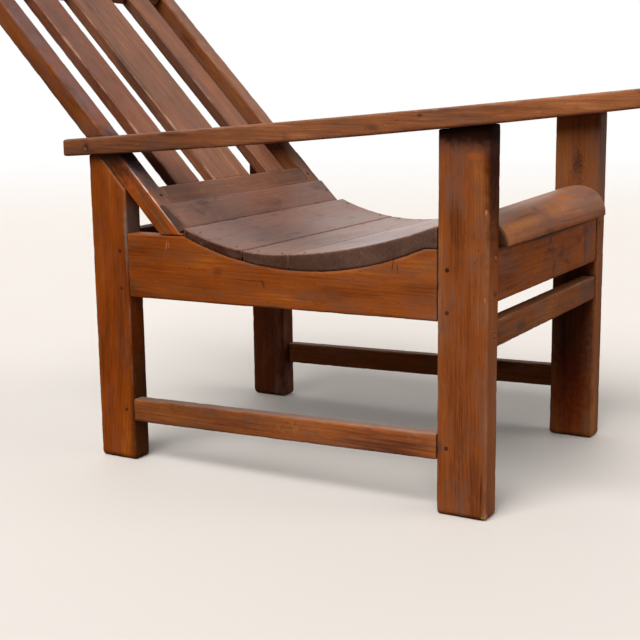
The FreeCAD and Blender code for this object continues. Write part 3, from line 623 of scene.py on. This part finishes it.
# Marks that show on single boards: knots, stains and wear, and also painted shadows, shade, highlights and
# reflections;
# a ragged edge has some cells in a metre, and turns are in degrees
MARKS = {
    "front_post_right": (
        # Painted shadow of the arm on the top of the front face
        shade((-262, -370, 600), (60, 14, 240), "#745a3b", 0.8),
        # Dark top of the side face: partly a stain, partly painted shadow under the arm
        stain((-282, -334, 640), (120, 160, 84), "#5a3a30", 0.65, 0.5, ragged=0.3),
        stain((-282, -334, 640), (120, 160, 60), "#1c0b06", 0.95, 0.4, ragged=0.3),
        stain((-262, -370, 150), (60, 8, 260), "#7a5a48", 0.25, 0.5),
        stain((-282, -345, 575), (12, 17, 9), "#a4531f", 0.55, 0.8),
        stain((-282, -302, 520), (12, 9, 60), "#6a5048", 0.5),
        *(stain((-282, -365, z), (5, 2.2, half), "#c88a5c", 0.6, 0.8, ragged=2, cells=300)
          for z, half in ((491, 6), (356, 5))),
        stain((-282, -289, 112), (10, 9, 20), "#4a3a34", 0.7),
        stain((-282, -362, 50), (10, 1.2, 32), "#1a0f0a", 0.85, 0.5),
        stain((-282, -367, 5), (10, 7, 9), "#b9834a", 0.8, 0.7, ragged=2.5, cells=250),
        stain((-262, -328, 0), (60, 70, 9), "#20130c", 0.7),
        # Dark rings round the pegs: partly dirt, partly painted shadow of the peg ends
        *(stain((-254.5, -370, z), (7, 6, 7), "#1c0c06", 0.8, 0.6) for z in FRONT_PEGS),
    ),
    "front_post_left": (
        # Painted shade on the inner face below the seat, warmer towards the foot
        shade((240, -327, 240), (30, 50, 260), "#a69483", 0.6),
        shade((240, -327, 90), (30, 50, 130), "#ffcca4", 0.6),
        # Painted shadow of the arm on the top of the front face
        stain((262, -370, 570), (60, 8, 140), "#5e4840", 0.5, 0.5),
        stain((240, -329, 518), (20, 18, 48), "#4a2c22", 0.55, ragged=2, cells=140),
        stain((240, -329, 532), (20, 13, 30), "#2c1710", 0.6, ragged=2.8, cells=240),
        stain((262, -328, 0), (60, 70, 12), "#170d08", 0.7),
        # Dark rings round the pegs: partly dirt, partly painted shadow of the peg ends
        *(stain((254.5, -370, z), (7, 6, 7), "#1c0c06", 0.8, 0.6) for z in FRONT_PEGS),
    ),
    "rear_post_right": (
        # Painted shade on the front face below the seat
        shade((-262, 327, 60), (60, 14, 260), "#97a6b2", 0.8),
        stain((-262, 366, 0), (60, 70, 14), "#20130c", 0.75),
        stain((-282, 345, 560), (12, 40, 24), "#24130b", 0.6),
        stain((-262, 327, 420), (40, 10, 90), "#7a6658", 0.9, 0.6),
    ),
    "rear_post_left": (
        stain((262, 366, 0), (60, 70, 14), "#150c08", 0.7),
    ),
    "side_rail_right": (
        shade((-282, 380, 370), (90, 800, 400), "#e7d495", 1.0, ragged=0.2),
        stain((-282, 239, 406), (6, 1.3, 13), "#b58f78", 0.5, turn=(12, 0, 0)),
        stain((-282, 234, 407), (6, 1.2, 9), "#b58f78", 0.4, turn=(-6, 0, 0)),
        stain((-282, 39, 353), (6, 4, 14), "#3a1a0b", 0.6, 0.8, turn=(-20, 0, 0)),
        stain((-282, 131, 367), (6, 15, 13), "#48220e", 0.5),
        stain((-282, -207, 402), (6, 1.3, 16), "#2a130a", 0.7, 0.5, turn=(8, 0, 0)),
        stain((-282, -215, 396), (6, 1.2, 12), "#2a130a", 0.6, 0.5, turn=(-6, 0, 0)),
    ),
    "side_stretcher_right": (
        shade((-282, 330, 100), (90, 650, 200), "#bcbcbc", 1.0, ragged=0.2),
        stain((-282, -5, 108), (8, 30, 19), "#9c5c2c", 0.5, ragged=2, cells=120),
        stain((-282, -8, 107), (8, 19, 13), "#a9693a", 0.4, ragged=2.5, cells=150),
        stain((-282, -4, 108), (8, 22, 15), "#4a2511", 0.5, ragged=2.5, cells=170),
    ),
    "front_rail": (
        stain((-5, -368, 416), (8, 6, 20), "#3d2c2a", 0.8, turn=(0, 32, 0)),
        stain((14, -368, 367), (9, 6, 17), "#3d2c2a", 0.8, turn=(0, 32, 0)),
        stain((-60, -368, 392), (4, 6, 9), "#4a342c", 0.5, turn=(0, 30, 0)),
        # Painted shadow gap along the top, under the roll's overhang
        stain((0, -368, 427), (300, 10, 3.5), "#1e0a05", 0.8, 0.7, ragged=0.3),
        stain((198, -368, 385), (42, 6, 66), "#5c443c", 0.55),
        stain((178, -368, 385), (14, 6, 44), "#3d2c2a", 0.6),
        stain((215, -368, 412), (20, 6, 22), "#5c4238", 0.5),
    ),
    "front_stretcher": (
        stain((-136, -368, 291), (36, 6, 13), "#3b2d2b", 0.65),
        stain((190, -368, 297), (54, 6, 32), "#4a3832", 0.6),
    ),
    "front_roll": (
        stain((-140, -374, 461), (105, 14, 11), "#b87436", 0.6, 0.8),
        stain((5, -373, 464), (85, 18, 15), "#a8642c", 0.55, 0.8),
        stain((85, -356, 479), (48, 14, 9), "#a05a2c", 0.5, 0.8),
        stain((6, -372, 466), (22, 24, 22), "#704528", 0.45, 0.25, ragged=0.2),
        stain((1, -372, 466), (21, 25, 23), "#8f5529", 0.45, 0.35, ragged=0.2),
        stain((110, -376, 464), (40, 22, 14), "#6a4638", 0.4),
        stain((168, -372, 468), (52, 22, 14), "#6c4636", 0.3),
        shade((-5, -386, 442), (150, 40, 40), "#f4e4c0", 0.9),
        shade((180, -372, 460), (90, 60, 60), "#e6eeff", 0.8),
        stain((-130, -354, 476), (70, 13, 8), "#835338", 0.55, 0.25, ragged=0.2),
        stain((-125, -366, 470), (72, 3, 2.4), "#5a341e", 0.7, ragged=0.2),
        stain((-64, -359, 474.5), (17, 12, 6), "#523320", 0.65, ragged=0.4),
        # Painted sheen along the near part of the top
        stain((-150, -335, 482), (95, 17, 9), "#ab8a78", 0.5),
        # Dark near end: partly end grain, partly painted shade beside the post
        stain((-240, -340, 450), (10, 60, 60), "#33221a", 0.8, 0.4),
    ),
    "arm_right": (
        shade((-297, 450, 590), (200, 900, 200), "#cccfd4", 1.0, ragged=0.2),
        stain((-297.5, 399, 575.4), (6, 8, 8), "#23130c", 0.75, 0.5),
        stain((-297, -261, 636), (6, 7, 4), "#2a140b", 0.7, 0.8),
        stain((-297, -177, 617), (6, 22, 8), "#3f2012", 0.5),
    ),
    "back_stile_right": (
        shade((-286, 256, 480), (9, 85, 85), "#ffffc4", 0.4),
        # Painted reflection: a grey veil on the front face
        stain((-261, 301, 526), (24, 120, 5), "#6a5046", 0.8, 0.5, turn=(46.5, 0, 0)),
        # Pale worn arris, brightened into a painted highlight
        stain((-282.5, 270, 494), (2.9, 140, 2.9), "#f0d8ca", 1.0, 0.6, ragged=0.3, turn=(46.5, 0, 0)),
        # Painted shadow under the arm
        shade((-282, 348, 575), (70, 70, 70), "#a8a8a8", 0.7),
        # Painted shade from the arm upwards, darker and less red
        shade((-262, 530, 770), (90, 400, 400), "#bcd6ff", 0.3),
        shade((-262, 680, 925), (90, 160, 160), "#d8b0a8", 0.6),
    ),
    "back_slat_left": (
        shade((123, 480, 690), (5, 400, 400), "#ccd2da", 0.5),
    ),
    "back_lower_rail": (
        shade((282, 280, 500), (230, 120, 120), "#c8cccc", 0.9),
    ),
    "seat_plank_back": (
        stain((-282, 228, 452), (26, 60, 60), "#2c211c", 0.8, 0.8),
    ),
    "seat_plank_rear": (
        REAR_NOTCH,
        stain((-282, 100, 399), (6, 14, 9), "#4a3a32", 0.6),
    ),
    "seat_plank_middle": (
        REAR_NOTCH,
        stain((-282, 55, 388), (6, 26, 7), "#4d3f37", 0.6),
        FRONT_NOTCH,
    ),
    "seat_plank_front": (
        shade((-282, -30, 390), (14, 110, 70), "#d0c4b8", 0.9),
        FRONT_NOTCH,
        stain((-282, -252, 443), (8, 9, 7), "#5a4a42", 0.6),
        stain((-282, -252, 443), (8, 3, 2.4), "#2c1d16", 0.7, 0.7),
    ),
}


def marked(put, place, colour, seed, at, size, code, share, soft, ragged=0.5, cells=90, turn=(0, 0, 0), blend="MIX"):
    """A knot, scratch, stain, painted shadow or painted highlight: an oval of another colour with a ragged edge."""
    spot = put("ShaderNodeMapping",
               {"Vector": place, "Location": [c * MM for c in at], "Scale": [c * MM for c in size],
                "Rotation": [radians(c) for c in turn]}, vector_type="TEXTURE")
    away = put("ShaderNodeVectorMath", {0: spot}, operation="LENGTH").outputs["Value"]
    rag = put("ShaderNodeTexNoise", {"Vector": place, "Scale": cells + seed, "Detail": 3.0})
    edge = put("ShaderNodeMath", {0: rag, 1: ragged, 2: away}, **SCALED)
    inside = put("ShaderNodeMapRange",
                 {"Value": edge, "From Min": 1.0 + ragged / 2, "From Max": 1.0 + ragged / 2 - soft,
                  "To Max": share}, **SOFT)
    return put("ShaderNodeMix", {0: inside, 6: colour, 7: (*linear(code), 1)}, **RGBA, blend_type=blend)


def old_teak(node, context):
    """Old teak, planed by hand and varnished or waxed: oily brown with dark stripes and a soft satin gloss."""
    wood, run, _ = BOARDS[node]
    colours = context.scene.lounge_colours
    low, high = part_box(node)
    number = list(BOARDS).index(node)
    material, put = bare_material(f"{FINISH[wood]}_{node}")
    turn = run.to_euler()
    coords = put("ShaderNodeTexCoord").outputs
    board = put("ShaderNodeMapping",
                {"Vector": coords["Object"], "Location": (low + high) / 2, "Rotation": turn}, vector_type="TEXTURE")
    facing = put("ShaderNodeMapping", {"Vector": coords["Normal"], "Rotation": turn}, vector_type="TEXTURE")
    corner = pi / 4 + number * pi / 2
    far = PITH[wood]
    figure = put("ShaderNodeGroup", node_tree=bpy.data.node_groups["old_hardwood_figure"])
    paints = {
        **{shade.title(): tinted(getattr(colours, f"{wood}_{shade}"), node) for shade in SHADES},
        "Worn": colours.worn, "Grime": colours.grime, "Film": colours.film, "Dust Colour": colours.dust,
    }
    # Each board comes from another place in the trunk, and its pith leans its own way
    given = {
        "Shift": (1.7 * number, 0.9 * number, 1.3 * number),
        "Pith": (0, far * cos(corner), far * sin(corner)),
        "Lean": (0, 0.05 * sin(7.0 * number), 0.05 * cos(5.0 * number)),
        **dict(zip(TRAITS, HABITS[wood])),
        **{name: (*paint, 1) for name, paint in paints.items()},
        **OWN.get(node, {}),
    }
    for name, value in given.items():
        figure.inputs[name].default_value = value
    for name, source in (("Board", board), ("Facing", facing)):
        material.node_tree.links.new(source.outputs[0], figure.inputs[name])
    colour = figure.outputs["Colour"]
    for mark in MARKS.get(node, ()):
        colour = marked(put, coords["Object"], colour, number, **mark)
    surface = put("ShaderNodeBsdfPrincipled",
                  {"Base Color": colour, "Roughness": figure.outputs["Roughness"],
                   "Normal": figure.outputs["Normal"], "Specular IOR Level": figure.outputs["Sheen"], "IOR": 1.5})
    put("ShaderNodeOutputMaterial", {"Surface": surface})
    return material


def dress(context, *nodes):
    """Worn copies of some boards, each in its own wood."""
    if "old_hardwood_figure" not in bpy.data.node_groups:
        figure_group()
    holes = peg_holes()
    for node in nodes:
        piece = worn_board(node, holes[node], context)
        piece.data.materials.append(old_teak(node, context))


# Pegs

def peg_tree():
    """Geometry nodes that set a whittled peg on each point, its domed end along the point's own direction."""
    tree = bpy.data.node_groups.new("whittled_pegs", "GeometryNodeTree")
    put = partial(add, tree)
    face = tree.interface
    face.new_socket("Geometry", in_out="INPUT", socket_type="NodeSocketGeometry")
    for name, kind, default in (
        ("Radius", "NodeSocketFloat", 4 * MM), ("Length", "NodeSocketFloat", 32 * MM),
        ("Dome", "NodeSocketFloat", 0.7 * MM), ("Facets", "NodeSocketInt", 11), ("Seed", "NodeSocketInt", 4),
    ):
        face.new_socket(name, in_out="INPUT", socket_type=kind).default_value = default
    face.new_socket("Wood", in_out="INPUT", socket_type="NodeSocketMaterial")
    face.new_socket("Geometry", in_out="OUTPUT", socket_type="NodeSocketGeometry")
    given = put("NodeGroupInput").outputs

    # The peg: a disc drawn out into a rod, then twice drawn in to a blunt dome
    disc = put("GeometryNodeMeshCircle", {"Vertices": given["Facets"], "Radius": given["Radius"]}, fill_type="NGON")
    rod = put("GeometryNodeExtrudeMesh", {"Mesh": disc, "Offset Scale": given["Length"]})
    shoulder = put("GeometryNodeExtrudeMesh",
                   {"Mesh": rod, "Selection": rod.outputs["Top"], "Offset Scale": given["Dome"]})
    drawn = put("GeometryNodeScaleElements",
                {"Geometry": shoulder, "Selection": shoulder.outputs["Top"], "Scale": 0.84})
    crown = put("GeometryNodeExtrudeMesh",
                {"Mesh": drawn, "Selection": shoulder.outputs["Top"], "Offset Scale": 0.35 * MM})
    tip = put("GeometryNodeScaleElements", {"Geometry": crown, "Selection": crown.outputs["Top"], "Scale": 0.5})
    foot = put("GeometryNodeFlipFaces", {"Mesh": disc})
    whole = put("GeometryNodeJoinGeometry")
    for half in (tip, foot):
        tree.links.new(half.outputs[0], whole.inputs[0])
    peg = put("GeometryNodeMergeByDistance", {"Geometry": whole, "Distance": 0.01 * MM})
    below = put("ShaderNodeMath", {0: given["Length"], 1: -1.0}, operation="MULTIPLY")
    down = put("ShaderNodeCombineXYZ", {"Z": below})
    set_in = put("GeometryNodeTransform", {"Geometry": peg, "Translation": down})

    spots = put("GeometryNodeMeshToPoints", {"Mesh": given["Geometry"]})
    outward = put("GeometryNodeInputNamedAttribute", {"Name": "outward"}, data_type="FLOAT_VECTOR")
    aim = put("FunctionNodeAlignRotationToVector", {"Vector": outward.outputs[0]}, axis="Z")
    angle = put("FunctionNodeRandomValue", {"Seed": given["Seed"]}, data_type="FLOAT")
    angle.inputs[3].default_value = 2 * pi
    spin = put("FunctionNodeAxisAngleToRotation", {"Axis": (0, 0, 1), "Angle": angle.outputs[1]})
    turned = put("FunctionNodeRotateRotation", {"Rotation": aim, "Rotate By": spin}, rotation_space="LOCAL")
    set_pegs = put("GeometryNodeInstanceOnPoints", {"Points": spots, "Instance": set_in, "Rotation": turned})
    real = put("GeometryNodeRealizeInstances", {"Geometry": set_pegs})
    wooden = put("GeometryNodeSetMaterial", {"Geometry": real, "Material": given["Wood"]})
    put("NodeGroupOutput", {"Geometry": wooden})
    return tree


def peg_wood(node, context):
    """Whittled hardwood pegs: dull end grain that has soaked up wax, each a little lighter or darker."""
    colours = context.scene.lounge_colours
    material, put = bare_material(f"whittled_hardwood_end_grain_{node}")
    at = put("ShaderNodeTexCoord").outputs["Object"]
    # Tone changes from peg to peg, about every 60 mm; pores are drawn 1.5 mm wide so that they show
    tone = put("ShaderNodeTexNoise", {"Vector": at, "Scale": 16.0, "Detail": 0.0})
    pores = put("ShaderNodeTexNoise", {"Vector": at, "Scale": 700.0, "Detail": 2.0})
    share = put("ShaderNodeMapRange", {"Value": tone, "From Min": 0.4, "From Max": 0.66})
    body = put("ShaderNodeMix",
               {0: share, 6: (*tinted(colours.peg_body, node), 1),
                7: (*tinted(colours.peg_early, node), 1)}, **RGBA)
    dots = put("ShaderNodeMapRange", {"Value": pores, "From Min": 0.5, "From Max": 0.7})
    colour = put("ShaderNodeMix", {0: dots, 6: body, 7: (*tinted(colours.peg_late, node), 1)}, **RGBA)
    rough = put("ShaderNodeMapRange", {"Value": pores, "To Min": 0.45, "To Max": 0.75})
    bump = put("ShaderNodeBump", {"Strength": 0.4, "Distance": 0.3 * MM, "Height": pores})
    surface = put("ShaderNodeBsdfPrincipled",
                  {"Base Color": colour, "Roughness": rough, "Normal": bump,
                   "Specular IOR Level": 0.1, "IOR": 1.5})
    put("ShaderNodeOutputMaterial", {"Surface": surface})
    return material


def whittled_pegs(node, tree, context):
    """One group of pegs as a piece that replaces the plain CAD ones."""
    sizes = context.scene.lounge_sizes
    pegs = peg_ends(node)
    spots = bpy.data.meshes.new(f"{node}_points")
    sunk = sizes.peg_dome + 0.1 * MM
    ways = [(outer - inner).normalized() for outer, inner, _ in pegs]
    spots.from_pydata([peg[0] - way * sunk for peg, way in zip(pegs, ways)], [], [])
    layer = spots.attributes.new("outward", "FLOAT_VECTOR", "POINT")
    layer.data.foreach_set("vector", [c for way in ways for c in way])
    holder = bpy.data.objects.new(f"{node}_holder", spots)
    context.collection.objects.link(holder)
    maker = holder.modifiers.new("pegs", "NODES")
    maker.node_group = tree
    values = {
        "Radius": pegs[0][2], "Length": (pegs[0][0] - pegs[0][1]).length - sunk - 1 * MM,
        "Dome": sizes.peg_dome, "Facets": sizes.peg_facets, "Seed": 4,
        "Wood": peg_wood(node, context),
    }
    for socket in tree.interface.items_tree:
        if socket.name in values:
            maker[socket.identifier] = values[socket.name]
    context.view_layer.update()
    mesh = bpy.data.meshes.new_from_object(holder.evaluated_get(context.evaluated_depsgraph_get()))
    holder.modifiers.remove(maker)
    bpy.data.objects.remove(holder)
    bpy.data.meshes.remove(spots)
    piece = bpy.data.objects.new(f"{node}_whittled", mesh)
    mesh.name = piece.name
    context.collection.objects.link(piece)
    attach(piece, BODY)
    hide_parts(node)


# Stage

def lay_floor(context):
    """A plain pale floor, wide enough for every view."""
    colours = context.scene.lounge_colours
    bm = bmesh.new()
    bmesh.ops.create_circle(bm, cap_ends=True, segments=96, radius=40)
    mesh = bpy.data.meshes.new("pale_floor")
    bm.to_mesh(mesh)
    bm.free()
    floor = bpy.data.objects.new("pale_floor", mesh)
    floor.location.z = -0.2 * MM
    context.collection.objects.link(floor)
    material, put = bare_material("matt_painted_floor")
    at = put("ShaderNodeTexCoord").outputs["Object"]
    # Faint cloudy tone over about 300 mm, as on a rolled floor
    cloud = put("ShaderNodeTexNoise", {"Vector": at, "Scale": 3.0, "Detail": 3.0})
    rough = put("ShaderNodeMapRange", {"Value": cloud, "To Min": 0.6, "To Max": 0.75})
    # Pale to the camera; what it throws back on the chair is as from a wooden floor
    seen = put("ShaderNodeLightPath").outputs["Is Camera Ray"]
    colour = put("ShaderNodeMix", {0: seen, 6: (*colours.floor_bounce, 1), 7: (*colours.floor, 1)}, **RGBA)
    paint = put("ShaderNodeBsdfPrincipled", {"Base Color": colour, "Roughness": rough, "Specular IOR Level": 0.2})
    # It fades to white between 3 and 9 m away, so no horizon shows
    away = put("ShaderNodeVectorMath", {0: at}, operation="LENGTH").outputs["Value"]
    fade = put("ShaderNodeMapRange", {"Value": away, "From Min": 3.0, "From Max": 9.0}, **SOFT)
    white = put("ShaderNodeEmission", {"Color": (1, 1, 1, 1), "Strength": seen})
    surface = put("ShaderNodeMixShader", {0: fade, 1: paint, 2: white})
    put("ShaderNodeOutputMaterial", {"Surface": surface})
    mesh.materials.append(material)


def light_studio(context):
    """Broad soft lamps at the sitter's right and in front, a weak one behind, and an even room."""
    studio = context.scene.lounge_studio
    for name, way, strength, spread in (
        ("key", Vector((-0.62, -0.03, 0.78)), studio.key, 44),
        ("front", Vector((0.2, -0.9, 0.38)), studio.front, 40),
        ("rear", Vector((0.5, 0.62, 0.6)), studio.rear, 90),
    ):
        lamp = bpy.data.lights.new(name, "SUN")
        lamp.energy, lamp.angle = strength, radians(spread)
        holder = bpy.data.objects.new(name, lamp)
        holder.rotation_euler = way.to_track_quat("Z", "Y").to_euler()
        context.collection.objects.link(holder)
    world = bpy.data.worlds.new("white_room")
    context.scene.world = world
    world.use_nodes = True
    world.node_tree.nodes.clear()
    put = partial(add, world.node_tree)
    path = put("ShaderNodeLightPath").outputs
    seen = put("ShaderNodeMath", {0: path["Is Camera Ray"], 1: path["Is Glossy Ray"]}, operation="MAXIMUM")
    seen = put("ShaderNodeMath", {0: seen, 1: path["Is Transmission Ray"]}, operation="MAXIMUM")
    strength = put("ShaderNodeMapRange", {"Value": seen, "To Min": studio.fill, "To Max": 1.0})
    room = put("ShaderNodeBackground", {"Color": (1, 1, 1, 1), "Strength": strength})
    put("ShaderNodeOutputWorld", {"Surface": room})
    context.scene.view_settings.view_transform = "Standard"


# Camera of the photograph, from its solved perspective: place from the front post's face, and turns
EYE = Vector((-2043.9, -732.1, 702.2)) * MM
YAW, PITCH, ROLL = radians(30.32), radians(11.146), radians(-0.752)


def set_camera(context):
    """The camera at the photograph's viewing angle."""
    ahead = Vector((cos(YAW) * cos(PITCH), sin(YAW) * cos(PITCH), -sin(PITCH)))
    right = Vector((sin(YAW), -cos(YAW), 0))
    up = right.cross(ahead)
    turned_right = right * cos(ROLL) + up * sin(ROLL)
    turned_up = up * cos(ROLL) - right * sin(ROLL)
    data = bpy.data.cameras.new("camera")
    data.sensor_width, data.lens = 36, context.scene.lounge_studio.lens
    data.clip_start, data.clip_end = 0.05, 200
    camera = bpy.data.objects.new("camera", data)
    place = Matrix((turned_right, turned_up, -ahead)).transposed().to_4x4()
    place.translation = EYE + Vector((0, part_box("front_post_right")[0].y, 0))
    camera.matrix_world = place
    context.collection.objects.link(camera)
    context.scene.camera = camera


# Operators

class LOUNGE_OT_posts(bpy.types.Operator):
    """Make the worn front and rear posts"""

    bl_idname = "lounge.posts"
    bl_label = "Posts"

    def execute(self, context):
        dress(context, "front_post_right", "front_post_left", "rear_post_right", "rear_post_left")
        return {"FINISHED"}


class LOUNGE_OT_rails(bpy.types.Operator):
    """Make the worn rails and stretchers"""

    bl_idname = "lounge.rails"
    bl_label = "Rails and stretchers"

    def execute(self, context):
        dress(context, "side_rail_right", "side_rail_left", "side_stretcher_right", "side_stretcher_left",
              "front_rail", "front_stretcher", "rear_rail")
        return {"FINISHED"}


class LOUNGE_OT_seat(bpy.types.Operator):
    """Make the worn seat planks and the rounded nose"""

    bl_idname = "lounge.seat"
    bl_label = "Seat"

    def execute(self, context):
        dress(context, "front_roll", "seat_plank_front", "seat_plank_middle", "seat_plank_rear", "seat_plank_back")
        return {"FINISHED"}


class LOUNGE_OT_back(bpy.types.Operator):
    """Make the worn stiles, rails and slats of the back"""

    bl_idname = "lounge.back"
    bl_label = "Back"

    def execute(self, context):
        dress(context, "back_stile_right", "back_stile_left", "back_lower_rail", "back_crest_rail",
              "back_slat_right", "back_slat_middle", "back_slat_left")
        return {"FINISHED"}


class LOUNGE_OT_arms(bpy.types.Operator):
    """Make the worn arms"""

    bl_idname = "lounge.arms"
    bl_label = "Arms"

    def execute(self, context):
        dress(context, "arm_right", "arm_left")
        return {"FINISHED"}


class LOUNGE_OT_pegs(bpy.types.Operator):
    """Make the whittled pegs"""

    bl_idname = "lounge.pegs"
    bl_label = "Pegs"

    def execute(self, context):
        tree = peg_tree()
        for node in PEGS:
            whittled_pegs(node, tree, context)
        return {"FINISHED"}


class LOUNGE_OT_stage(bpy.types.Operator):
    """Make the floor, the lamps and the camera"""

    bl_idname = "lounge.stage"
    bl_label = "Stage"

    def execute(self, context):
        lay_floor(context)
        light_studio(context)
        set_camera(context)
        return {"FINISHED"}


class LOUNGE_PT_chair(bpy.types.Panel):
    """Lists the chair's pieces and settings"""

    bl_idname = "LOUNGE_PT_chair"
    bl_label = "Lounge chair"
    bl_space_type = "VIEW_3D"
    bl_region_type = "UI"
    bl_category = "Lounge chair"

    def draw(self, context):
        column = self.layout.column()
        for maker in OPERATORS:
            column.operator(maker.bl_idname)
        for name, group in GROUPS.items():
            box = column.box()
            for setting in group.__annotations__:
                box.prop(getattr(context.scene, name), setting)


OPERATORS = (LOUNGE_OT_posts, LOUNGE_OT_rails, LOUNGE_OT_seat, LOUNGE_OT_back, LOUNGE_OT_arms, LOUNGE_OT_pegs,
             LOUNGE_OT_stage)
GROUPS = {"lounge_colours": LoungeColours, "lounge_sizes": LoungeSizes, "lounge_studio": LoungeStudio}
CLASSES = (*GROUPS.values(), *OPERATORS, LOUNGE_PT_chair)


def register():
    """Make the classes and the scene's settings known to Blender."""
    for kind in CLASSES:
        bpy.utils.register_class(kind)
    for name, group in GROUPS.items():
        setattr(bpy.types.Scene, name, PointerProperty(type=group))


def unregister():
    """Take them away again."""
    for name in GROUPS:
        delattr(bpy.types.Scene, name)
    for kind in reversed(CLASSES):
        bpy.utils.unregister_class(kind)


def main():
    """Make every piece and the stage."""
    register()
    for maker in OPERATORS:
        group, name = maker.bl_idname.split(".")
        getattr(getattr(bpy.ops, group), name)()


if __name__ == "__main__":
    main()
